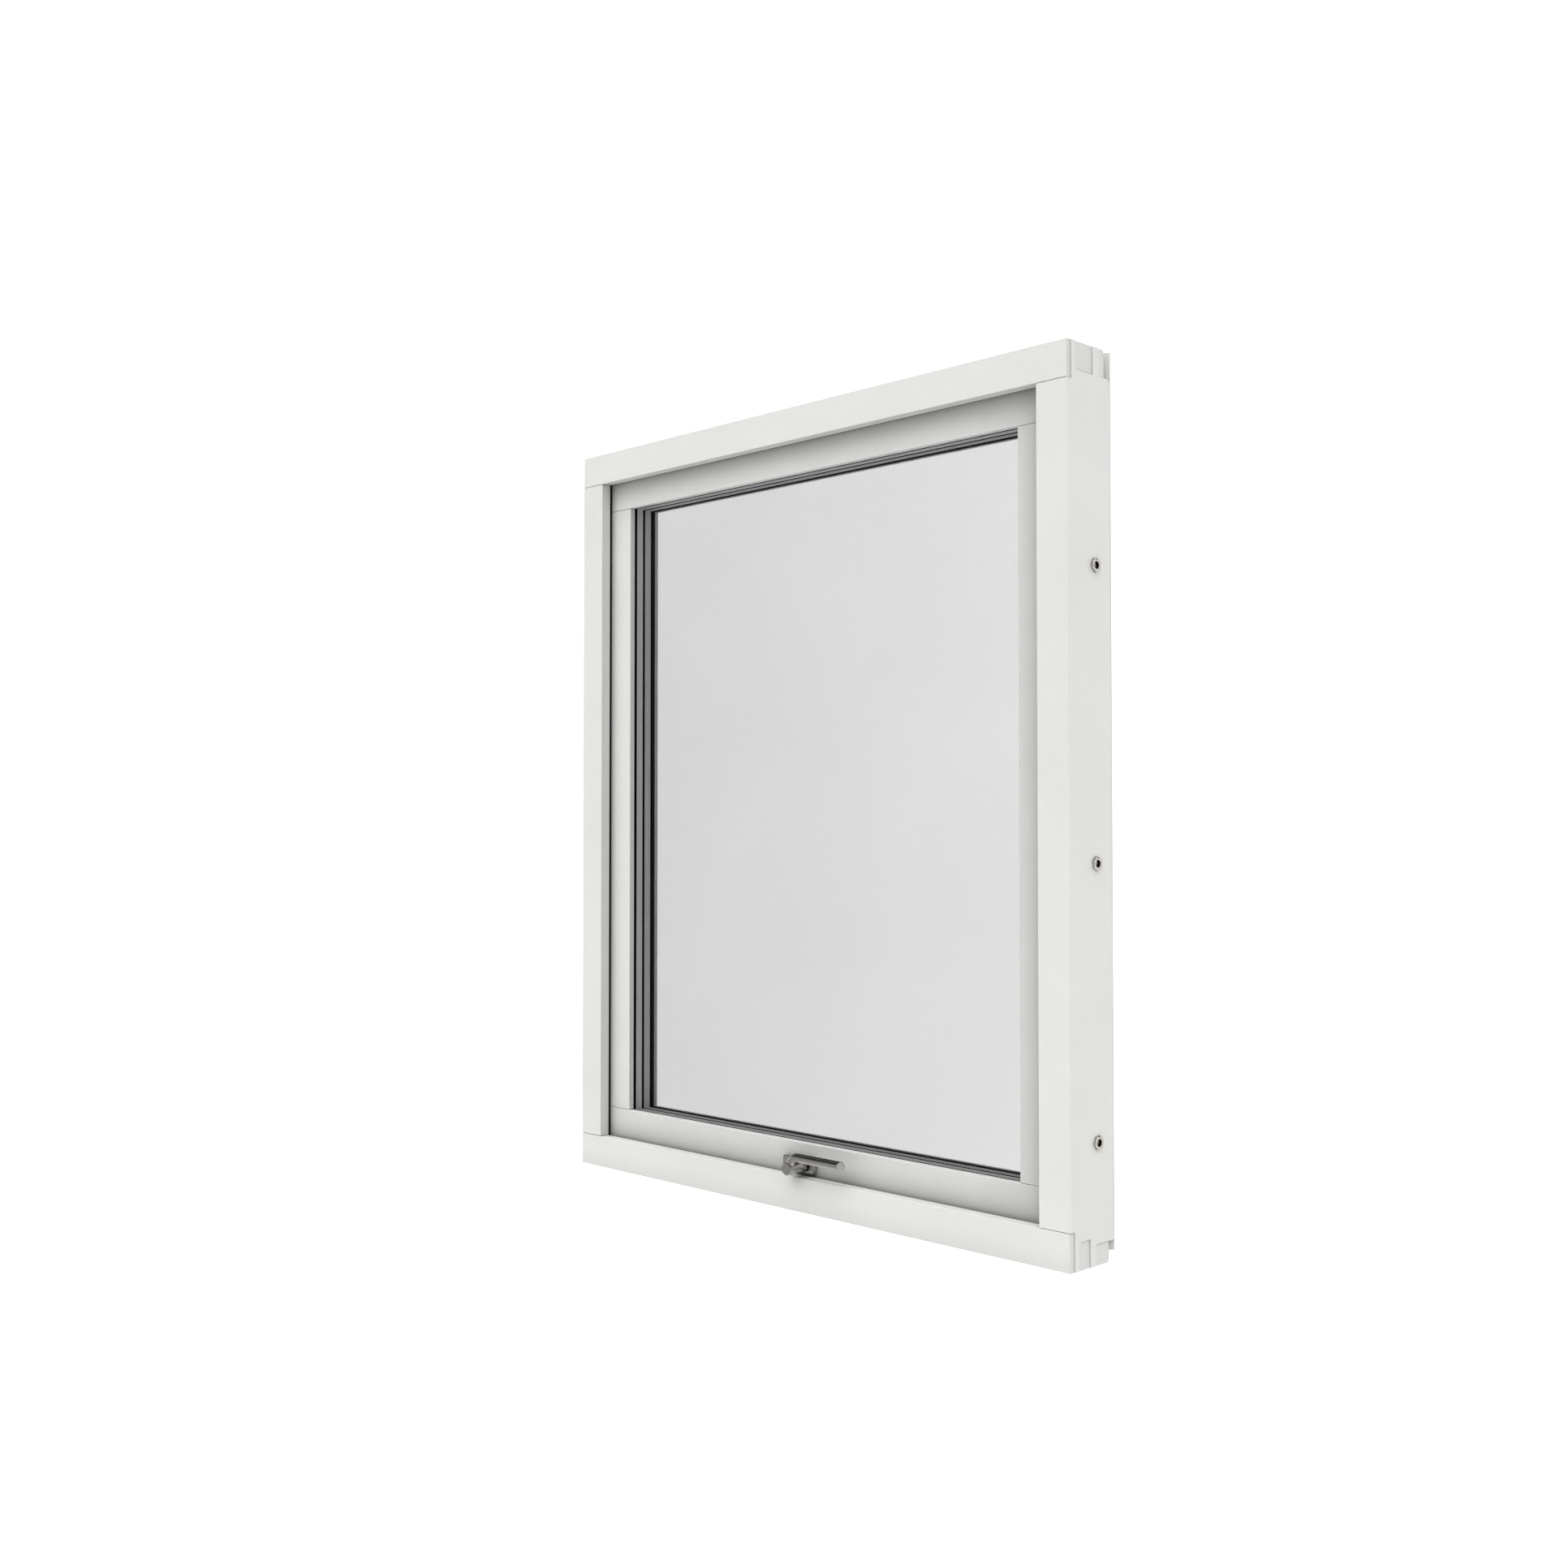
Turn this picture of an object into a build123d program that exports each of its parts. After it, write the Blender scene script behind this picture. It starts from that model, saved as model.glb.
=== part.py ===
"""Timber pivot window with aluminium outside cladding, triple glazing and a lever handle.

Millimetres. +Z is up and +Y points outdoors. The origin is on the underside of the sill,
in the middle of its length and of its depth.
"""

from build123d import *
import os

os.makedirs("parts", exist_ok=True)

# Outer size of the frame
frame_width = 990.0
frame_height = 1180.0
timber_depth = 82.4

# Frame timber: a wide lip towards the room and a thinner body behind it
lip_depth = 17.6
head_lip = 49.4
sill_lip = 49.6
jamb_lip = 48.9
head_body = 36.2
jamb_body = 36.0
sill_body = 35.5
sill_back = 27.0
sill_step_at = 42.6
jamb_fin_depth = 10.8
fin_bevel = 3.5
edge_round = 1.0

# Comb joints: depths from the room face where a jamb finger starts and ends
finger_one_start = 9.5
finger_one_end = 19.6
head_finger_start = 56.4
head_finger_end = 71.4
sill_finger_end = 56.2
notch_depth = 2.6
notch_height = 4.5
end_recess = 1.2
hairline = 0.8

# Frame cladding
cladding_depth = 2.5
cladding_top_drop = 1.0
sill_nose_drop = 13.0
sill_slope = 6.0
cladding_inset = 0.3
sill_leg_thick = 2.2
sill_leg_low = 1.0

# Sash timber
seal_gap = 4.9
sash_gap = 4.0
top_rail_width = 53.0
bottom_rail_width = 56.2
stile_width = 55.6
glass_lip = 9.4

# Glazing unit and what holds it
pane_thickness = 4.0
cavity = 14.0
glass_bite = 14.0
glass_side_gap = 3.0
inner_gasket_depth = 2.0
outer_gasket_depth = 5.0
gasket_width = 8.0
spacer_width = 9.0
seal_inset = 0.5
sash_cladding_lip = 9.1
sash_cladding_slope = 3.0

# Weatherstrip between the frame's lip and the sash
strip_inset = 1.2
strip_width = 9.0

# Fixing sleeves through the jambs
sleeve_heights = (156.0, 512.0, 896.3)
sleeve_turns = (12.0, 40.0, 27.0)
sleeve_from_face = 59.9
collar_across = 17.4
collar_stand = 2.5
collar_round = 2.7
collar_notch_width = 2.6
collar_notch_depth = 1.5
sleeve_radius = 8.0
sleeve_bore_radius = 5.0
sleeve_clearance = 0.2

# Handle
rose_width = 61.4
rose_height = 20.4
rose_thick = 9.5
rose_corner = 2.2
rose_edge = 1.0
rose_up = 25.3
spindle_aside = 13.0
washer_radius = 8.8
washer_thick = 2.4
washer_gap = 0.3
neck_radius = 9.0
neck_length = 34.0
neck_edge = 0.6
lever_radius = 6.7
lever_set_back = 7.3
lever_bend = 17.4
lever_reach = 101.7
lever_edge = 0.8
lever_end_turn = 20.0

# Faces worked out from the sizes above
room_face = -timber_depth / 2
half_width = frame_width / 2
timber_back = room_face + timber_depth
lip_back = room_face + lip_depth
jamb_back = timber_back + jamb_fin_depth
cladding_face = jamb_back + cladding_depth
sash_face = lip_back + seal_gap
sash_left = jamb_body + sash_gap - half_width
sash_top = frame_height - head_body - sash_gap
sash_bottom = sill_body + sash_gap
sight_x = -sash_left - stile_width
sight_top = sash_top - top_rail_width
sight_bottom = sash_bottom + bottom_rail_width
gasket_start = sash_face + glass_lip
glass_start = gasket_start + inner_gasket_depth
glass_end = glass_start + 3 * pane_thickness + 2 * cavity
sash_back = glass_end
outer_lip_start = glass_end + outer_gasket_depth
sash_outside = outer_lip_start + sash_cladding_lip
rebate = glass_bite + glass_side_gap
finger_x = half_width - jamb_body
rose_middle = sash_bottom + rose_up
rose_face = sash_face - rose_thick
neck_base = rose_face - washer_thick - washer_gap
lever_y = neck_base - neck_length + lever_set_back
lever_z = rose_middle + lever_bend
lever_end = spindle_aside + lever_reach


def block(x_span, y_span, z_span, mode=Mode.ADD):
    """One box in the open part, given by its low and high sides."""
    size = [high - low for low, high in (x_span, y_span, z_span)]
    middle = [(high + low) / 2 for low, high in (x_span, y_span, z_span)]
    with Locations(tuple(middle)):
        Box(*size, mode=mode)


def profile_bar(plane, points, length, round_at=()):
    """A straight bar with its section drawn on a plane; the listed corners are rounded."""
    with BuildSketch(plane) as section:
        with BuildLine():
            Polyline(*points, close=True)
        make_face()
        corners = [
            v for v in section.vertices()
            if any(abs(v.X - x) < 0.01 and abs(v.Y - y) < 0.01 for x, y in round_at)
        ]
        if corners:
            fillet(corners, edge_round)
    extrude(section.sketch, amount=length)


def rail_bar(points, low_x, high_x, round_at=()):
    """A bar along X with its section given as (y, z) points."""
    profile_bar(Plane.YZ.offset(low_x), points, high_x - low_x, round_at)


def post_bar(points, low_z, high_z, round_at=()):
    """An upright bar with its section given as (x, y) points."""
    profile_bar(Plane.XY.offset(low_z), points, high_z - low_z, round_at)


def ring(y_start, depth, half_x, low_z, high_z, width):
    """A rectangular ring facing the room; half_x, low_z and high_z are its inner edges."""
    middle = (low_z + high_z) / 2
    height = high_z - low_z
    with BuildSketch(Plane.XZ.offset(-y_start)) as section:
        with Locations((0, middle)):
            Rectangle(2 * (half_x + width), height + 2 * width)
            Rectangle(2 * half_x, height, mode=Mode.SUBTRACT)
    extrude(section.sketch, amount=-depth)


def save(part, name):
    part.label = name
    export_step(part, f"parts/{name}.step")


def frame_head():
    top = frame_height
    lip_low = top - head_lip
    body_low = top - head_body
    end = half_width - end_recess
    with BuildPart() as head:
        rail_bar(
            [(room_face, lip_low), (room_face, top), (timber_back, top),
             (timber_back, body_low), (lip_back, body_low), (lip_back, lip_low)],
            -end, end, [(room_face, lip_low), (room_face, top), (lip_back, lip_low)],
        )
        for side in (-1, 1):
            span = sorted((side * finger_x, side * half_width))
            finger = (room_face + finger_one_start, room_face + finger_one_end)
            block(span, finger, (lip_low, top), Mode.SUBTRACT)
            notch = (finger[1], finger[1] + notch_depth)
            block(span, notch, (body_low, body_low + notch_height), Mode.SUBTRACT)
            second = (room_face + head_finger_start, room_face + head_finger_end)
            block(span, second, (body_low, top), Mode.SUBTRACT)
    save(head.part, "frame_head")


def frame_sill():
    step = room_face + sill_step_at
    end = half_width - end_recess
    with BuildPart() as sill:
        rail_bar(
            [(room_face, 0), (timber_back, 0), (timber_back, sill_back), (step, sill_back),
             (step, sill_body), (lip_back, sill_body), (lip_back, sill_lip), (room_face, sill_lip)],
            -end, end, [(room_face, 0), (room_face, sill_lip), (lip_back, sill_lip)],
        )
        for side in (-1, 1):
            span = sorted((side * finger_x, side * half_width))
            finger = (room_face + finger_one_start, room_face + finger_one_end)
            block(span, finger, (0, sill_lip), Mode.SUBTRACT)
            notch = (finger[1], finger[1] + notch_depth)
            block(span, notch, (sill_body - notch_height, sill_body), Mode.SUBTRACT)
            second = (step, room_face + sill_finger_end)
            block(span, second, (0, sill_back), Mode.SUBTRACT)
    save(sill.part, "frame_sill")


def frame_jamb(side, name):
    outer = side * half_width
    inner = side * finger_x
    lip_edge = side * (half_width - jamb_lip)
    top = frame_height
    with BuildPart() as jamb:
        post_bar(
            [(outer, room_face), (lip_edge, room_face), (lip_edge, lip_back),
             (inner, lip_back), (inner, jamb_back), (outer, jamb_back)],
            0, top, [(outer, room_face), (lip_edge, room_face), (lip_edge, lip_back)],
        )
        whole = sorted((outer, lip_edge))
        lip_only = sorted((inner, lip_edge))
        body = sorted((inner, outer))
        slot_start = room_face + finger_one_end - hairline
        notch_end = slot_start + notch_depth
        front = (room_face, room_face + finger_one_start)
        lip_high = top - head_lip - hairline
        lip_low = sill_lip + hairline
        body_high = top - head_body - hairline
        body_low = sill_body + hairline
        block(whole, front, (lip_high, top), Mode.SUBTRACT)
        block(lip_only, (room_face, lip_back), (lip_high, top), Mode.SUBTRACT)
        head_slot_two = room_face + head_finger_end - hairline
        block(body, (slot_start, notch_end), (body_high + notch_height, top), Mode.SUBTRACT)
        block(body, (notch_end, room_face + head_finger_start), (body_high, top), Mode.SUBTRACT)
        block(body, (head_slot_two, jamb_back), (body_high, top), Mode.SUBTRACT)
        block(whole, front, (0, lip_low), Mode.SUBTRACT)
        block(lip_only, (room_face, lip_back), (0, lip_low), Mode.SUBTRACT)
        sill_slot_two = room_face + sill_finger_end - hairline
        block(body, (slot_start, notch_end), (0, body_low - notch_height), Mode.SUBTRACT)
        block(body, (notch_end, room_face + sill_step_at), (0, body_low), Mode.SUBTRACT)
        block(body, (sill_slot_two, jamb_back), (0, sill_back + hairline), Mode.SUBTRACT)
        back_edge = jamb.edges().filter_by(Axis.X).group_by(Axis.Y)[-1].sort_by(Axis.Z)[-1]
        chamfer(back_edge, fin_bevel)
        with BuildSketch(Plane.YZ.offset(inner)):
            with Locations(*[(room_face + sleeve_from_face, height) for height in sleeve_heights]):
                Circle(sleeve_radius + sleeve_clearance)
        extrude(amount=side * jamb_body, mode=Mode.SUBTRACT)
    save(jamb.part, name)


def frame_cladding_head():
    """The cover outside the head, with a drip edge that reaches down to the side covers."""
    low = frame_height - head_body
    high = frame_height - cladding_top_drop
    inner_end = half_width - (cladding_face - timber_back)
    with BuildPart() as cover:
        post_bar(
            [(-inner_end, timber_back), (inner_end, timber_back),
             (half_width, cladding_face), (-half_width, cladding_face)],
            low, high,
        )
        block((-half_width, half_width), (jamb_back, cladding_face), (low - fin_bevel, low))
    save(cover.part, "frame_cladding_head")


def frame_cladding_sill():
    nose_low = sill_back - sill_nose_drop
    inner_end = half_width - (cladding_face - timber_back)
    step = room_face + sill_step_at
    top = sill_body - cladding_inset
    with BuildPart() as cover:
        post_bar(
            [(-inner_end, timber_back), (inner_end, timber_back),
             (half_width, cladding_face), (-half_width, cladding_face)],
            nose_low, sill_back,
        )
        rail_bar(
            [(step, sill_back), (cladding_face, sill_back), (cladding_face, top - sill_slope),
             (step, top)],
            cladding_inset - finger_x, finger_x - cladding_inset,
        )
        leg_back = timber_back + sill_leg_thick
        rail_bar(
            [(timber_back, sill_leg_low), (leg_back, sill_leg_low + sill_leg_thick),
             (leg_back, sill_back), (timber_back, sill_back)],
            end_recess - half_width, half_width - end_recess,
        )
    save(cover.part, "frame_cladding_sill")


def frame_cladding_side(side, name):
    with BuildPart() as cover:
        block(
            sorted((side * finger_x, side * half_width)),
            (jamb_back, cladding_face),
            (sill_back, frame_height - head_body - fin_bevel),
        )
    save(cover.part, name)


def sash_rail(name, upper):
    """A full-width rail; its room-side lip holds the glass, with a rebate behind."""
    if upper:
        outer, inner = sash_top, sight_top
        rebate_edge = inner + rebate
    else:
        outer, inner = sash_bottom, sight_bottom
        rebate_edge = inner - rebate
    with BuildPart() as rail:
        rail_bar(
            [(sash_face, outer), (sash_back, outer), (sash_back, rebate_edge),
             (gasket_start, rebate_edge), (gasket_start, inner), (sash_face, inner)],
            sash_left, -sash_left, [(sash_face, inner), (sash_face, outer)],
        )
    save(rail.part, name)


def sash_stile(side, name):
    outer = -side * sash_left
    inner = side * sight_x
    rebate_edge = inner + side * rebate
    lip = sorted((outer, inner))
    body = sorted((outer, rebate_edge))
    with BuildPart() as stile:
        block(lip, (sash_face, gasket_start), (sight_bottom + hairline, sight_top - hairline))
        front = stile.edges().filter_by(Axis.Z).group_by(Axis.Y)[0]
        fillet(front, edge_round)
        block(body, (gasket_start, sash_back), (sight_bottom - rebate, sight_top + rebate))
    save(stile.part, name)


def sash_cladding_rail(name, upper):
    """Aluminium cover outside the rail, stepped over the glass edge and sloping to it."""
    way = 1 if upper else -1
    outer = sash_top if upper else sash_bottom
    inner = sight_top if upper else sight_bottom
    over_glass = inner + way * (gasket_width + seal_inset)
    with BuildPart() as cover:
        rail_bar(
            [(sash_back, outer), (sash_outside, outer), (sash_outside, inner + way * sash_cladding_slope),
             (sash_outside - sash_cladding_slope, inner), (outer_lip_start, inner),
             (outer_lip_start, over_glass), (sash_back, over_glass + way * glass_bite)],
            sash_left, -sash_left,
        )
    save(cover.part, name)


def sash_cladding_stile(side, name):
    outer = -side * sash_left
    inner = side * sight_x
    over_glass = inner + side * (gasket_width + seal_inset)
    with BuildPart() as cover:
        post_bar(
            [(outer, sash_back), (outer, sash_outside),
             (inner + side * sash_cladding_slope, sash_outside),
             (inner, sash_outside - sash_cladding_slope), (inner, outer_lip_start),
             (over_glass, outer_lip_start), (over_glass + side * glass_bite, sash_back)],
            sight_bottom, sight_top,
        )
    save(cover.part, name)


def glass_pane(name, start):
    with BuildPart() as pane:
        block(
            (-sight_x - glass_bite, sight_x + glass_bite),
            (start, start + pane_thickness),
            (sight_bottom - glass_bite, sight_top + glass_bite),
        )
    save(pane.part, name)


def glazing_ring(name, start, depth, width):
    with BuildPart() as band:
        ring(start, depth, sight_x + seal_inset, sight_bottom - seal_inset, sight_top + seal_inset, width)
    save(band.part, name)


def weatherstrip():
    with BuildPart() as strip:
        ring(
            lip_back, seal_gap, half_width - jamb_lip + strip_inset,
            sill_lip - strip_inset, frame_height - head_lip + strip_inset, strip_width,
        )
    save(strip.part, "weatherstrip")


def fixing_sleeves(side, name):
    """Hollow screw sleeves: a six-sided collar on the jamb's outer face and a tube in the timber."""
    outer = side * half_width
    with BuildPart() as sleeves:
        for height, turn in zip(sleeve_heights, sleeve_turns):
            spot = (room_face + sleeve_from_face, height)
            with BuildSketch(Plane.YZ.offset(outer)) as collar:
                with Locations(spot):
                    RegularPolygon(collar_across / 2, 6, major_radius=False, rotation=turn)
                fillet(collar.vertices(), collar_round)
                with Locations((spot[0], spot[1] + collar_across / 2)):
                    Rectangle(collar_notch_width, 2 * collar_notch_depth, mode=Mode.SUBTRACT)
            extrude(amount=side * collar_stand)
            with BuildSketch(Plane.YZ.offset(outer)):
                with Locations(spot):
                    Circle(sleeve_radius)
            extrude(amount=-side * jamb_body)
        with BuildSketch(Plane.YZ.offset(outer + side * collar_stand)):
            with Locations(*[(room_face + sleeve_from_face, height) for height in sleeve_heights]):
                Circle(sleeve_bore_radius)
        extrude(amount=-side * (jamb_body + collar_stand), mode=Mode.SUBTRACT)
    save(sleeves.part, name)


def handle_rose():
    with BuildPart() as rose:
        with BuildSketch(Plane.XZ.offset(-sash_face)):
            with Locations((0, rose_middle)):
                RectangleRounded(rose_width, rose_height, rose_corner)
        extrude(amount=rose_thick)
        fillet(rose.faces().sort_by(Axis.Y)[0].edges(), rose_edge)
    save(rose.part, "handle_rose")


def handle_washer():
    with BuildPart() as washer:
        with BuildSketch(Plane.XZ.offset(-rose_face)):
            with Locations((spindle_aside, rose_middle)):
                Circle(washer_radius)
        extrude(amount=washer_thick)
    save(washer.part, "handle_washer")


def handle_grip():
    """The round neck, and the bar that bends up out of it and runs level to the right.

    The bar's end is cut a little towards the room.
    """
    with BuildPart() as neck:
        with BuildSketch(Plane.XZ.offset(-neck_base)):
            with Locations((spindle_aside, rose_middle)):
                Circle(neck_radius)
        extrude(amount=neck_length)
        chamfer(neck.faces().sort_by(Axis.Y)[0].edges(), neck_edge)
    save(neck.part, "handle_neck")

    with BuildPart() as lever:
        with BuildLine(Plane.XZ.offset(-lever_y)) as route:
            bend = JernArc((spindle_aside, rose_middle), (0, 1), lever_bend, -90)
            Line(bend @ 1, (lever_end + lever_radius, lever_z))
        start = Plane(origin=(spindle_aside, lever_y, rose_middle), z_dir=(0, 0, 1))
        with BuildSketch(start):
            Circle(lever_radius)
        sweep(path=route.wires()[0])
        outward = Vector(1, 0, 0).rotate(Axis.Z, -lever_end_turn)
        end_cut = Plane(origin=(lever_end, lever_y, lever_z), z_dir=outward)
        split(bisect_by=end_cut, keep=Keep.BOTTOM)
        chamfer(lever.faces().sort_by(Axis.X)[-1].edges(), lever_edge)
        add(neck.part, mode=Mode.SUBTRACT)
    save(lever.part, "handle_lever")


frame_head()
frame_sill()
weatherstrip()
for side, hand in ((-1, "left"), (1, "right")):
    frame_jamb(side, f"frame_jamb_{hand}")
    frame_cladding_side(side, f"frame_cladding_{hand}")
    fixing_sleeves(side, f"fixing_sleeves_{hand}")
    sash_stile(side, f"sash_stile_{hand}")
    sash_cladding_stile(side, f"sash_cladding_{hand}")
frame_cladding_head()
frame_cladding_sill()
for upper, place in ((True, "top"), (False, "bottom")):
    sash_rail(f"sash_rail_{place}", upper)
    sash_cladding_rail(f"sash_cladding_{place}", upper)

glazing_ring("gasket_inner", gasket_start, inner_gasket_depth, gasket_width)
glazing_ring("gasket_outer", glass_end, outer_gasket_depth, gasket_width)
pane_pitch = pane_thickness + cavity
for place, count in (("inner", 0), ("middle", 1), ("outer", 2)):
    glass_pane(f"glass_{place}", glass_start + count * pane_pitch)
for place, count in (("inner", 0), ("outer", 1)):
    start = glass_start + pane_thickness + count * pane_pitch
    glazing_ring(f"spacer_{place}", start, cavity, spacer_width)

handle_rose()
handle_washer()
handle_grip()
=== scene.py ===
import math

import bmesh
import bpy
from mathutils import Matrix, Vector


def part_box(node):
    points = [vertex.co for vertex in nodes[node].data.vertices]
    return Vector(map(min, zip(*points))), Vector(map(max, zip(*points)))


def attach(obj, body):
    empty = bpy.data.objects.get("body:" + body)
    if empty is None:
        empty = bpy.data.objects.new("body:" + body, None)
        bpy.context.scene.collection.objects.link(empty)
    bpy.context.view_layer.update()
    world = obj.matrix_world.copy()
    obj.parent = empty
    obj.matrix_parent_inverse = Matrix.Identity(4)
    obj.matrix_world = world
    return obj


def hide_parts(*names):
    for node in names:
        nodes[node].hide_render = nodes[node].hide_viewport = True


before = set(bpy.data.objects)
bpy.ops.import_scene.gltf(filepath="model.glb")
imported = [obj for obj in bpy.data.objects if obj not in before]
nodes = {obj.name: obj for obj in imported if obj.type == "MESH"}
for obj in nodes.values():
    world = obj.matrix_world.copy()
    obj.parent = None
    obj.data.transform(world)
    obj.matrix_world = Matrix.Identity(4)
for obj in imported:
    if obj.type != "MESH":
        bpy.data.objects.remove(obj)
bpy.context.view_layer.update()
mm = 0.001

print("camera")
cameraSettings = {
    "place": (1745.1, -1779.3, 558.1),  # mm, worked out from the window's own perspective
    "turn": (91.497, 0.0, 45.361),  # degrees
    "lens": 38.5,
    "sensor": 36.0,
}


def makeCamera(settings):
    data = bpy.data.cameras.new("camera")
    data.lens = settings["lens"]
    data.sensor_width = settings["sensor"]
    data.clip_start = 0.01
    data.clip_end = 100.0
    camera = bpy.data.objects.new("camera", data)
    bpy.context.scene.collection.objects.link(camera)
    camera.location = Vector(settings["place"]) * mm
    camera.rotation_euler = [math.radians(angle) for angle in settings["turn"]]
    bpy.context.scene.camera = camera


makeCamera(cameraSettings)


white = (1.0, 1.0, 1.0, 1.0)


def linearColour(hexColour):  # sRGB hex to the linear values that the sockets take
    channels = [int(hexColour[i:i + 2], 16) / 255 for i in (1, 3, 5)]
    return [c / 12.92 if c <= 0.04045 else ((c + 0.055) / 1.055) ** 2.4 for c in channels] + [1.0]


def addNode(tree, kind, values=None, links=None, **settings):  # one node, its sockets and its links
    node = tree.nodes.new(kind)
    for key, value in settings.items():
        setattr(node, key, value)
    for socket, value in (values or {}).items():
        node.inputs[socket].default_value = value
    for socket, source in (links or {}).items():
        tree.links.new(source, node.inputs[socket])
    return node


print("light")
studio = {
    "view": ("Standard", "High Contrast"),  # plain colours, with the deep recess shadows of the photograph
    "backdrop": (0.725, 0.9),  # what is seen behind the window, straight or through the panes: left, right
    "backdropSpan": (-0.9, -0.5),  # the X parts of the looking direction at which it has those values
    "softLights": [  # azimuth from the room side, height above level, strength
        {"azimuth": 0, "height": 58, "strength": 2.7},
        {"azimuth": 60, "height": 58, "strength": 0.8},
        {"azimuth": 180, "height": 15, "strength": 2.6},
    ],
    "softness": 5.0,  # power of the cosine: a lower one is a wider light
    "fill": 0.05,  # from everywhere
    "mirrored": (0.31, 0.84),  # what the steel mirrors: the dim room in front, the white backdrop behind
    "mirroredSpan": (-0.7, 0.7),  # the Y parts of the looking direction, from the room to the backdrop
    "mirroredUp": 0.12,  # how much of that is left overhead, where the lever's top mirrors black
    "overheadSpan": (0.2, 0.45),  # the Z parts of the looking direction over which it gets that dark
    "floorRadius": 20000.0,  # mm; wide, so that its light is the same all the way up the window
    "floorDrop": 90.0,  # mm; the window hangs a little above it, as no shadow shows in the photograph
    "floorColour": "#EDEDED",
    "floorFibres": (180.0, 0.1, 0.2),  # noise scale, and the bump's strength and height in mm
}


def makeWorld(settings):  # wide soft lights, all part of the surroundings, and a white backdrop
    scene = bpy.context.scene
    scene.view_settings.view_transform, scene.view_settings.look = settings["view"]
    world = bpy.data.worlds.new("studio")
    scene.world = world
    world.use_nodes = True
    tree = world.node_tree
    tree.nodes.clear()
    direction = addNode(tree, "ShaderNodeTexCoord").outputs["Generated"]
    total = None
    for light in settings["softLights"]:
        azimuth, height = math.radians(light["azimuth"]), math.radians(light["height"])
        flat = math.cos(height)
        towards = (math.sin(azimuth) * flat, -math.cos(azimuth) * flat, math.sin(height))
        facing = addNode(tree, "ShaderNodeVectorMath", {1: towards}, {0: direction}, operation="DOT_PRODUCT")
        front = addNode(tree, "ShaderNodeMath", {1: 0.0}, {0: facing.outputs["Value"]}, operation="MAXIMUM")
        soft = addNode(
            tree, "ShaderNodeMath", {1: settings["softness"]}, {0: front.outputs[0]}, operation="POWER"
        )
        glow = addNode(
            tree, "ShaderNodeMath", {1: light["strength"], 2: settings["fill"]}, {0: soft.outputs[0]},
            operation="MULTIPLY_ADD",
        )
        if total:
            tree.links.new(total.outputs[0], glow.inputs[2])
        total = glow
    lights = addNode(tree, "ShaderNodeBackground", {"Color": white}, {"Strength": total.outputs[0]})
    parts = addNode(tree, "ShaderNodeSeparateXYZ", links={0: direction})
    (left, right), (nearLeft, nearRight) = settings["backdrop"], settings["backdropSpan"]
    paleness = addNode(
        tree, "ShaderNodeMapRange",
        {"From Min": nearLeft, "From Max": nearRight, "To Min": left, "To Max": right},
        {"Value": parts.outputs[0]},
    )
    backdrop = addNode(tree, "ShaderNodeBackground", {"Color": white}, {"Strength": paleness.outputs[0]})
    (dim, pale), (roomward, outward) = settings["mirrored"], settings["mirroredSpan"]
    depth = addNode(
        tree, "ShaderNodeMapRange",
        {"From Min": roomward, "From Max": outward, "To Min": dim, "To Max": pale},
        {"Value": parts.outputs[1]},
    )
    level, above = settings["overheadSpan"]
    overhead = addNode(
        tree, "ShaderNodeMapRange",
        {"From Min": level, "From Max": above, "To Min": 1.0, "To Max": settings["mirroredUp"]},
        {"Value": parts.outputs[2]},
    )
    mirrored = addNode(
        tree, "ShaderNodeMath", links={0: depth.outputs[0], 1: overhead.outputs[0]}, operation="MULTIPLY"
    )
    room = addNode(tree, "ShaderNodeBackground", {"Color": white}, {"Strength": mirrored.outputs[0]})
    path = addNode(tree, "ShaderNodeLightPath")
    glance = addNode(  # what is mirrored or seen through a mirrored pane meets the dim room
        tree, "ShaderNodeMath",
        links={0: path.outputs["Is Glossy Ray"], 1: path.outputs["Is Transmission Ray"]}, operation="MAXIMUM",
    )
    lit = addNode(
        tree, "ShaderNodeMixShader", links={0: glance.outputs[0], 1: lights.outputs[0], 2: room.outputs[0]}
    )
    direct = addNode(
        tree, "ShaderNodeMath", {1: 0.5}, {0: path.outputs["Glossy Depth"]}, operation="LESS_THAN"
    )
    through = addNode(  # straight through the panes the backdrop shows
        tree, "ShaderNodeMath", links={0: path.outputs["Is Transmission Ray"], 1: direct.outputs[0]},
        operation="MULTIPLY",
    )
    seen = addNode(
        tree, "ShaderNodeMath", links={0: path.outputs["Is Camera Ray"], 1: through.outputs[0]},
        operation="MAXIMUM",
    )
    mixed = addNode(
        tree, "ShaderNodeMixShader",
        links={0: seen.outputs[0], 1: lit.outputs[0], 2: backdrop.outputs[0]},
    )
    addNode(tree, "ShaderNodeOutputWorld", links={"Surface": mixed.outputs[0]})


def newMaterial(name):
    material = bpy.data.materials.new(name)
    material.use_nodes = True
    material.node_tree.nodes.clear()
    return material


def newPiece(name, shape, material):  # an object from finished mesh code
    mesh = bpy.data.meshes.new(name)
    shape.to_mesh(mesh)
    shape.free()
    mesh.materials.append(material)
    piece = bpy.data.objects.new(name, mesh)
    bpy.context.scene.collection.objects.link(piece)
    return piece


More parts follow.
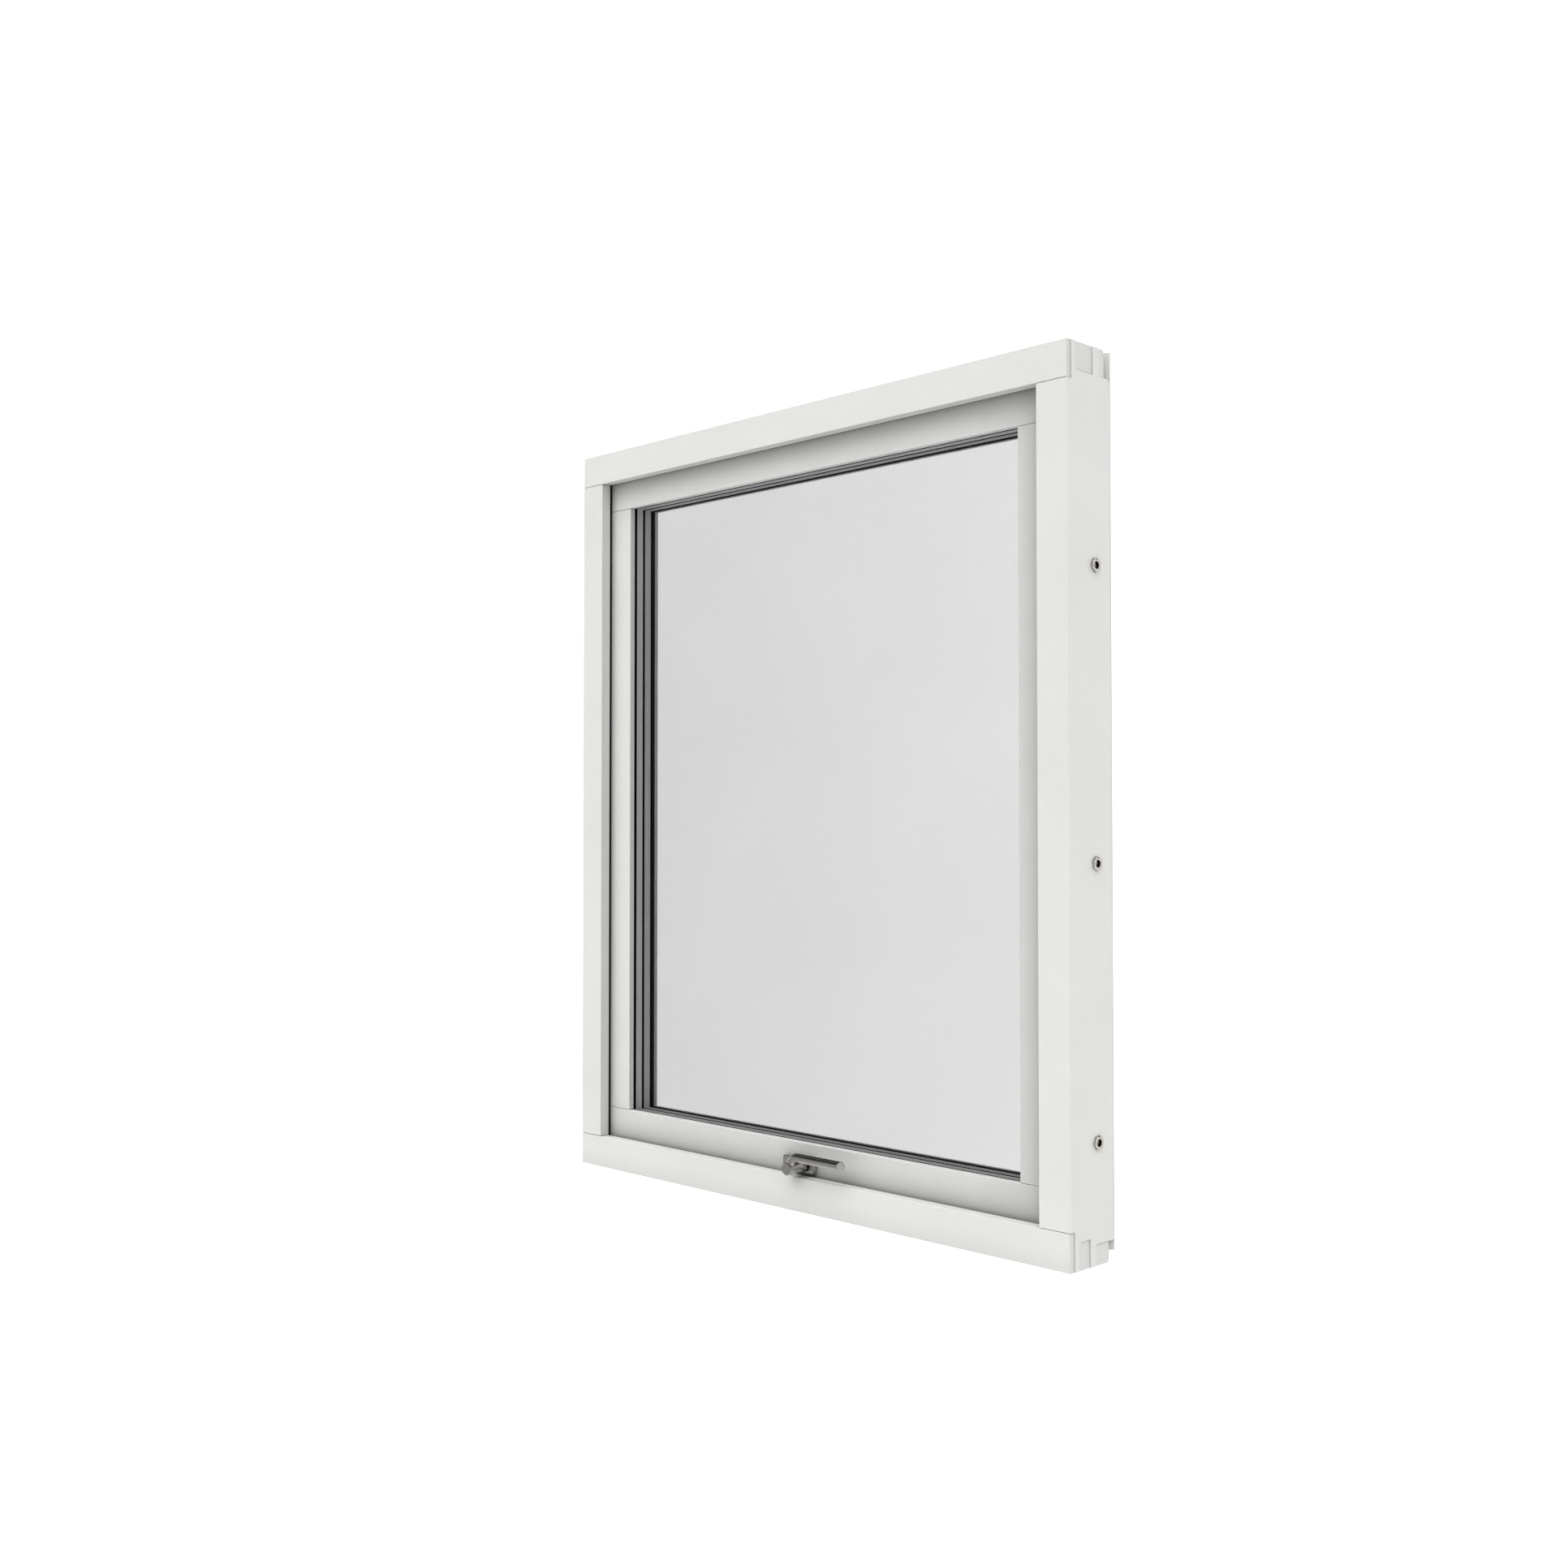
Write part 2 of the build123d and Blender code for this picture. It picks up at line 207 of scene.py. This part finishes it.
def makeFloor(settings):  # a round of white paper, lit until it is as white as the backdrop
    paper = newMaterial("whitePaper")
    tree = paper.node_tree
    scale, strength, height = settings["floorFibres"]
    fibres = addNode(tree, "ShaderNodeTexNoise", {"Scale": scale, "Detail": 3.0})
    bump = addNode(
        tree, "ShaderNodeBump", {"Strength": strength, "Distance": height * mm}, {"Height": fibres.outputs[0]}
    )
    sheet = addNode(
        tree, "ShaderNodeBsdfPrincipled",
        {"Base Color": linearColour(settings["floorColour"]), "Roughness": 0.9}, {"Normal": bump.outputs[0]},
    )
    glow = addNode(tree, "ShaderNodeEmission", {"Color": white, "Strength": settings["backdrop"][1]})
    path = addNode(tree, "ShaderNodeLightPath")
    mixed = addNode(
        tree, "ShaderNodeMixShader",
        links={0: path.outputs["Is Camera Ray"], 1: sheet.outputs[0], 2: glow.outputs[0]},
    )
    addNode(tree, "ShaderNodeOutputMaterial", links={"Surface": mixed.outputs[0]})
    shape = bmesh.new()
    bmesh.ops.create_circle(shape, cap_ends=True, segments=96, radius=settings["floorRadius"] * mm)
    floor = newPiece("paper_floor", shape, paper)
    floor.location.z = -settings["floorDrop"] * mm
    floor.visible_glossy = False  # the steel and the panes mirror the dim studio instead
    floor.visible_transmission = False


makeWorld(studio)
makeFloor(studio)

print("materials")
patternRange = (0.3, 0.7)  # the part of a noise's span that nearly all of it fills


def stretchedNoise(tree, spacing, detail=2.0, roughness=0.5):  # spacing in mm along X, Y and Z
    place = addNode(tree, "ShaderNodeTexCoord").outputs["Object"]
    scaled = addNode(
        tree, "ShaderNodeMapping", {"Scale": [1 / (size * mm) for size in spacing]}, {"Vector": place}
    )
    noise = addNode(
        tree, "ShaderNodeTexNoise", {"Scale": 1.0, "Detail": detail, "Roughness": roughness},
        {"Vector": scaled.outputs[0]},
    )
    return noise.outputs[0]


def patternColour(tree, pattern, settings):  # from the darker to the lighter tone over the pattern's range
    low, high = patternRange
    share = addNode(tree, "ShaderNodeMapRange", {"From Min": low, "From Max": high}, {"Value": pattern})
    mixed = addNode(
        tree, "ShaderNodeMix",
        {6: linearColour(settings["dark"]), 7: linearColour(settings["light"])}, {0: share.outputs[0]},
        data_type="RGBA",
    )
    return mixed.outputs[2]


def finishMaterial(material, values, links, pattern=None, roughness=None):
    tree = material.node_tree
    surface = addNode(tree, "ShaderNodeBsdfPrincipled", values, links)
    if pattern is not None:  # the shine follows the surface's own pattern
        low, high = patternRange
        rough = addNode(
            tree, "ShaderNodeMapRange",
            {"From Min": low, "From Max": high, "To Min": roughness[0], "To Max": roughness[1]},
            {"Value": pattern},
        )
        tree.links.new(rough.outputs[0], surface.inputs["Roughness"])
    addNode(tree, "ShaderNodeOutputMaterial", links={"Surface": surface.outputs[0]})
    return material


paintedPine = {
    "dark": "#D1D1CF", "light": "#D4D4D2",
    "endGrain": "#CECECC",  # sawn ends, the faces that look along the timber, are drawn a little darker
    "endFacing": 0.9,  # how nearly a face has to look along the timber to be an end
    "roomFacing": -0.9,  # the same along Y, for the faces that look into the room
    "paintedShadeGrey": "#959593",  # painted shade: the grey mixed into the faces towards the room deep in a corner, in place of the shadow that falls there
    "paintedShadeReach": 120.0,  # mm over which the painted shade fades out of a corner
    "paintedShadeSpread": 0.55,  # power of the painted shade: a lower one carries it further out of the corner
    "paintedShadeLean": (0.54, 0.0, -0.14),  # corners to the right shade the most, as in the photograph
    "openFace": 0.93,  # the open share that a face with nothing near it has, seen with that lean
    "grainSpacing": 5.0,  # mm; pine's rings lie about 2 mm apart, drawn coarser so that they show at all
    "grainLength": 260.0,
    "grainBump": (0.12, 0.15),  # strength, and height in mm
    "peelSpacing": 3.0,  # mm between the sprayed coat's droplets, real size about 1.5
    "peelBump": (0.1, 0.08),
    "cloudSpacing": 140.0,  # mm; the coat's thickness drifts a little along a board
    "roughness": (0.36, 0.46),
}


def makePaintedPine(name, along, settings):
    # planed pine, primed and sprayed with water-based acrylic: an even satin white, with a droplet
    # texture in its shine and the faintest raised grain under it; painted shade greys its room-facing corners
    material = newMaterial(name)
    tree = material.node_tree
    spacing = [settings["grainSpacing"]] * 3
    spacing[along] = settings["grainLength"]
    grain = stretchedNoise(tree, spacing, 3.0, 0.6)
    peel = stretchedNoise(tree, [settings["peelSpacing"]] * 3, 1.0)
    clouds = stretchedNoise(tree, [settings["cloudSpacing"]] * 3)
    strength, height = settings["grainBump"]
    raised = addNode(tree, "ShaderNodeBump", {"Strength": strength, "Distance": height * mm}, {"Height": grain})
    strength, height = settings["peelBump"]
    droplets = addNode(
        tree, "ShaderNodeBump", {"Strength": strength, "Distance": height * mm},
        {"Height": peel, "Normal": raised.outputs[0]},
    )
    normal = addNode(tree, "ShaderNodeNewGeometry").outputs["Normal"]
    facing = addNode(tree, "ShaderNodeSeparateXYZ", links={0: normal})
    endways = addNode(tree, "ShaderNodeMath", links={0: facing.outputs[along]}, operation="ABSOLUTE")
    sawn = addNode(
        tree, "ShaderNodeMath", {1: settings["endFacing"]}, {0: endways.outputs[0]}, operation="GREATER_THAN"
    )
    coat = addNode(
        tree, "ShaderNodeMix", {7: linearColour(settings["endGrain"])},
        {0: sawn.outputs[0], 6: patternColour(tree, clouds, settings)}, data_type="RGBA",
    )
    # painted shade: ambient occlusion, leant towards the right and down, greys the faces towards the room in
    # corners and recesses
    leaning = addNode(tree, "ShaderNodeVectorMath", {1: settings["paintedShadeLean"]}, {0: normal}, operation="ADD")
    look = addNode(tree, "ShaderNodeVectorMath", links={0: leaning.outputs[0]}, operation="NORMALIZE")
    corner = addNode(
        tree, "ShaderNodeAmbientOcclusion", {"Distance": settings["paintedShadeReach"] * mm},
        {"Normal": look.outputs[0]}, samples=6,
    )
    hidden = addNode(
        tree, "ShaderNodeMapRange",
        {"From Min": 0.0, "From Max": settings["openFace"], "To Min": 1.0, "To Max": 0.0},
        {"Value": corner.outputs["AO"]},
    )
    softened = addNode(
        tree, "ShaderNodeMath", {1: settings["paintedShadeSpread"]}, {0: hidden.outputs[0]}, operation="POWER"
    )
    roomward = addNode(
        tree, "ShaderNodeMath", {1: settings["roomFacing"]}, {0: facing.outputs[1]}, operation="LESS_THAN"
    )
    paintedShade = addNode(
        tree, "ShaderNodeMath", links={0: softened.outputs[0], 1: roomward.outputs[0]}, operation="MULTIPLY"
    )
    colour = addNode(
        tree, "ShaderNodeMix", {7: linearColour(settings["paintedShadeGrey"])},
        {0: paintedShade.outputs[0], 6: coat.outputs[2]}, data_type="RGBA",
    )
    return finishMaterial(
        material, {"IOR": 1.48}, {"Base Color": colour.outputs[2], "Normal": droplets.outputs[0]},
        peel, settings["roughness"],
    )


powderCoat = {
    "dark": "#C7C7C5", "light": "#CACAC8",
    "gritSpacing": 1.6,  # mm; powder grit is about 0.4, drawn coarser so that it shows
    "gritBump": (0.2, 0.08),  # strength, and height in mm
    "cloudSpacing": 90.0,
    "roughness": (0.42, 0.55),
}


def makePowderCoat(settings):
    # extruded aluminium with a baked polyester powder coat: matt white with an even fine grit
    material = newMaterial("powderCoatedAluminium")
    tree = material.node_tree
    grit = stretchedNoise(tree, [settings["gritSpacing"]] * 3)
    clouds = stretchedNoise(tree, [settings["cloudSpacing"]] * 3)
    strength, height = settings["gritBump"]
    bump = addNode(tree, "ShaderNodeBump", {"Strength": strength, "Distance": height * mm}, {"Height": grit})
    colour = patternColour(tree, clouds, settings)
    return finishMaterial(
        material, {"IOR": 1.5}, {"Base Color": colour, "Normal": bump.outputs[0]}, grit, settings["roughness"]
    )


floatGlass = {
    "dark": "#EFEFEF", "light": "#F0F0F0",
    "waveSpacing": 420.0,  # mm between the slow waves of drawn float glass
    "waveBump": (0.01, 0.3),  # strength, and height in mm
    "hazeSpacing": 260.0,
    "ior": 1.15,  # float glass has 1.52; the photograph shows next to no mirroring or shift in the panes
}


def makeFloatGlass(settings):
    # float glass with a thin heat-keeping coat: clear, a little grey, with slow waves in what it mirrors
    material = newMaterial("coatedFloatGlass")
    tree = material.node_tree
    waves = stretchedNoise(tree, [settings["waveSpacing"]] * 3, 0.0)
    haze = stretchedNoise(tree, [settings["hazeSpacing"]] * 3, 3.0)
    strength, height = settings["waveBump"]
    bump = addNode(tree, "ShaderNodeBump", {"Strength": strength, "Distance": height * mm}, {"Height": waves})
    colour = patternColour(tree, haze, settings)
    return finishMaterial(
        material, {"Transmission Weight": 1.0, "IOR": settings["ior"], "Roughness": 0.0},
        {"Base Color": colour, "Normal": bump.outputs[0]},
    )


extrudedRubber = {  # EPDM, black and dull, with faint lines along it from the die
    "dark": "#131313", "light": "#1E1E1E",
    "lineSpacing": 1.5,  # mm between the die lines; real ones are about 0.3, drawn coarser
    "lineBump": (0.2, 0.1),  # strength, and height in mm
    "dustSpacing": 18.0,
    "roughness": (0.5, 0.7),
}
mouldedNylon = dict(extrudedRubber, roughness=(0.35, 0.45))  # the washer: a mould's smoother skin


def makeBlackPolymer(name, settings):
    material = newMaterial(name)
    tree = material.node_tree
    lines = stretchedNoise(tree, [settings["lineSpacing"]] * 3)
    dust = stretchedNoise(tree, [settings["dustSpacing"]] * 3, 3.0)
    strength, height = settings["lineBump"]
    bump = addNode(tree, "ShaderNodeBump", {"Strength": strength, "Distance": height * mm}, {"Height": lines})
    colour = patternColour(tree, dust, settings)
    return finishMaterial(
        material, {"IOR": 1.5}, {"Base Color": colour, "Normal": bump.outputs[0]}, lines, settings["roughness"]
    )


spacerPlastic = {
    "dark": "#E2E2E2", "light": "#E9E9E9",
    "speckleSpacing": 2.2,  # mm; the glass fill's grain is far finer, drawn coarser so that it shows
    "speckleBump": (0.1, 0.1),  # strength, and height in mm
    "roughness": (0.5, 0.62),
}


def makeSpacerPlastic(settings):
    # grey glass-filled polypropylene, extruded: matt and even, with the fill's fine speckle
    material = newMaterial("greyPolypropylene")
    tree = material.node_tree
    speckle = stretchedNoise(tree, [settings["speckleSpacing"]] * 3, 3.0)
    strength, height = settings["speckleBump"]
    bump = addNode(tree, "ShaderNodeBump", {"Strength": strength, "Distance": height * mm}, {"Height": speckle})
    colour = patternColour(tree, speckle, settings)
    return finishMaterial(
        material, {"IOR": 1.49}, {"Base Color": colour, "Normal": bump.outputs[0]}, speckle,
        settings["roughness"],
    )


brushedSteel = {
    "dark": "#C9C7C4", "light": "#D7D5D2",
    "lineSpacing": 0.9,  # mm; the abrasive's real lines are about 0.1 apart, drawn coarser
    "lineLength": 24.0,
    "lineBump": (0.12, 0.05),  # strength, and height in mm
    "roughness": (0.15, 0.24),
}


def makeBrushedSteel(settings):
    # stainless steel, ground with a fine belt: grey with a warm tinge and soft reflections drawn
    # out along the belt lines
    material = newMaterial("beltGroundSteel")
    tree = material.node_tree
    spacing = [settings["lineLength"], settings["lineSpacing"], settings["lineSpacing"]]
    lines = stretchedNoise(tree, spacing, 2.0, 0.6)
    strength, height = settings["lineBump"]
    bump = addNode(tree, "ShaderNodeBump", {"Strength": strength, "Distance": height * mm}, {"Height": lines})
    colour = patternColour(tree, lines, settings)
    return finishMaterial(
        material, {"Metallic": 1.0}, {"Base Color": colour, "Normal": bump.outputs[0]}, lines,
        settings["roughness"],
    )


zincSteel = {
    "dark": "#B8B5B0", "light": "#CCC9C4",
    "cloudSpacing": 2.5,  # mm; zinc's crystals are far finer, drawn coarser as faint clouds
    "cloudBump": (0.08, 0.05),  # strength, and height in mm
    "roughness": (0.2, 0.34),
}


def makeZincSteel(settings):
    # turned steel with a bright zinc plate: smooth, near mirror, slightly cloudy
    material = newMaterial("zincPlatedSteel")
    tree = material.node_tree
    clouds = stretchedNoise(tree, [settings["cloudSpacing"]] * 3, 3.0)
    strength, height = settings["cloudBump"]
    bump = addNode(tree, "ShaderNodeBump", {"Strength": strength, "Distance": height * mm}, {"Height": clouds})
    colour = patternColour(tree, clouds, settings)
    return finishMaterial(
        material, {"Metallic": 1.0}, {"Base Color": colour, "Normal": bump.outputs[0]}, clouds,
        settings["roughness"],
    )


railPaint = makePaintedPine("sprayedPineRail", 0, paintedPine)
postPaint = makePaintedPine("sprayedPinePost", 2, paintedPine)
whiteCoat = makePowderCoat(powderCoat)
paneGlass = makeFloatGlass(floatGlass)
rubber = makeBlackPolymer("extrudedRubber", extrudedRubber)
washerNylon = makeBlackPolymer("mouldedNylon", mouldedNylon)
greyPlastic = makeSpacerPlastic(spacerPlastic)
handleSteel = makeBrushedSteel(brushedSteel)
sleeveSteel = makeZincSteel(zincSteel)

nodeFinishes = {
    "frame_head": railPaint, "frame_sill": railPaint, "sash_rail": railPaint,
    "frame_jamb": postPaint, "sash_stile": postPaint,
    "frame_cladding": whiteCoat, "sash_cladding": whiteCoat,
    "glass": paneGlass, "gasket": rubber, "weatherstrip": rubber, "spacer": greyPlastic,
    "fixing": sleeveSteel, "handle_washer": washerNylon, "handle": handleSteel,
}


def dressNodes(finishes):  # the longest matching start of a node's name decides its finish
    for name, part in nodes.items():
        start = max((key for key in finishes if name.startswith(key)), key=len)
        part.data.materials.clear()
        part.data.materials.append(finishes[start])


dressNodes(nodeFinishes)

print("glazing details")


def joinRows(shape, rows):  # one closed section joined to the next, all the way round
    for i, row in enumerate(rows):
        following = rows[(i + 1) % len(rows)]
        for j in range(len(row)):
            k = (j + 1) % len(row)
            shape.faces.new((row[j], row[k], following[k], following[j]))
    bmesh.ops.recalc_face_normals(shape, faces=shape.faces)


def ringMesh(name, section, outerX, low, high, material):
    # a closed section carried round a rectangle with mitred corners; each point is (inwards, depth) in mm
    shape = bmesh.new()
    rows = []
    for sideX, sideZ in ((-1, 0), (1, 0), (1, 1), (-1, 1)):
        row = []
        for inwards, depth in section:
            x = sideX * (outerX - inwards * mm)
            z = high - inwards * mm if sideZ else low + inwards * mm
            row.append(shape.verts.new((x, depth * mm, z)))
        rows.append(row)
    joinRows(shape, rows)
    return newPiece(name, shape, material)


spacerDetail = {
    "sealThick": 0.5,  # mm of butyl between the bar and each pane
    "sealBack": 0.2,  # how far it stays behind the bar's seen face
    "channelDepth": 0.5,  # the shallow channel along the bar's seen face
    "channelWidth": 7.0,
    "shoulder": 0.4,
    "width": 9.0,
}


def makeSpacer(place, settings):
    low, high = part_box("spacer_" + place)
    start, end = low.y / mm, high.y / mm
    middle = (start + end) / 2
    seal, width = settings["sealThick"], settings["width"]
    butyl = width - settings["sealBack"]
    half = settings["channelWidth"] / 2
    face = width - settings["channelDepth"]
    bar = [
        (0, start + seal), (0, end - seal), (width - settings["shoulder"], end - seal),
        (width, end - seal - settings["shoulder"]), (width, middle + half + settings["channelDepth"]),
        (face, middle + half), (face, middle - half), (width, middle - half - settings["channelDepth"]),
        (width, start + seal + settings["shoulder"]), (width - settings["shoulder"], start + seal),
    ]
    piece = ringMesh("spacer_bar_" + place, bar, high.x, low.z, high.z, greyPlastic)
    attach(piece, "window")
    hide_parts("spacer_" + place)
    for side, near, far in (("room", start, start + seal), ("outdoor", end - seal, end)):
        strip = [(0, near), (0, far), (butyl, far), (butyl, near)]
        seam = ringMesh("butyl_" + place + "_" + side, strip, high.x, low.z, high.z, rubber)
        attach(seam, "window")


for place in ("inner", "outer"):
    makeSpacer(place, spacerDetail)

rubberDetail = {
    # each section goes round as (share of the width from the outer edge, share of the depth from the room)
    "weatherstrip": [  # a foot on the frame's lip with a bulb pressed flat by the sash
        (0.0, 0.0), (1.0, 0.0), (1.0, 0.24), (0.9, 0.34), (0.99, 0.48), (1.0, 0.66), (0.95, 0.84),
        (0.85, 0.96), (0.72, 1.0), (0.5, 1.0), (0.36, 0.95), (0.27, 0.82), (0.24, 0.62), (0.28, 0.42),
        (0.22, 0.3), (0.0, 0.24),
    ],
    "gasket_inner": [  # a tape with a soft rounded edge
        (0.0, 0.0), (0.92, 0.0), (0.97, 0.12), (1.0, 0.35), (1.0, 0.65), (0.97, 0.88), (0.92, 1.0), (0.0, 1.0),
    ],
    "gasket_outer": [  # a wedge with two ribs, bent against the pane
        (0.0, 0.0), (0.93, 0.0), (1.0, 0.1), (1.0, 0.3), (0.92, 0.38), (0.92, 0.5), (0.99, 0.57),
        (0.99, 0.78), (0.93, 0.86), (0.93, 1.0), (0.0, 1.0),
    ],
    "widths": {"weatherstrip": 9.0, "gasket_inner": 8.0, "gasket_outer": 8.0},
}


def makeRubberProfile(node, settings):
    low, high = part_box(node)
    width, depth = settings["widths"][node], (high.y - low.y) / mm
    section = [(width * across, low.y / mm + depth * deep) for across, deep in settings[node]]
    piece = ringMesh(node + "_profile", section, high.x, low.z, high.z, rubber)
    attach(piece, "window")
    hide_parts(node)


for node in rubberDetail["widths"]:
    makeRubberProfile(node, rubberDetail)

print("sleeve sockets")

sleeveDetail = {
    "centres": [(18.7, 156.0), (18.7, 512.0), (18.7, 896.3)],  # Y and Z, mm
    "outerRadius": 5.02,  # mm; the ring sits on the bore's wall
    "innerRadius": 3.9,
    "start": 4.6,  # mm below the collar's face
    "steps": [(1.0, 0.0), (0.55, 0.5), (0.0, 0.9), (0.0, 3.4), (1.0, 3.4)],  # share of the rim, depth
    "segments": 40,
}


def makeSockets(hand, settings):  # the driver's seat in each bore: a bevelled ring with a bright edge
    low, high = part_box("fixing_sleeves_" + hand)
    side = 1 if hand == "right" else -1
    face = high.x if side > 0 else low.x
    rim = settings["outerRadius"] - settings["innerRadius"]
    shape = bmesh.new()
    for centreY, centreZ in settings["centres"]:
        rows = []
        for i in range(settings["segments"]):
            angle = 2 * math.pi * i / settings["segments"]
            row = []
            for share, deep in settings["steps"]:
                radius = (settings["innerRadius"] + rim * share) * mm
                x = face - side * (settings["start"] + deep) * mm
                y = centreY * mm + radius * math.cos(angle)
                z = centreZ * mm + radius * math.sin(angle)
                row.append(shape.verts.new((x, y, z)))
            rows.append(row)
        joinRows(shape, rows)
    piece = newPiece("sleeve_sockets_" + hand, shape, sleeveSteel)
    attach(piece, "window")


for hand in ("left", "right"):
    makeSockets(hand, sleeveDetail)

print("finished")
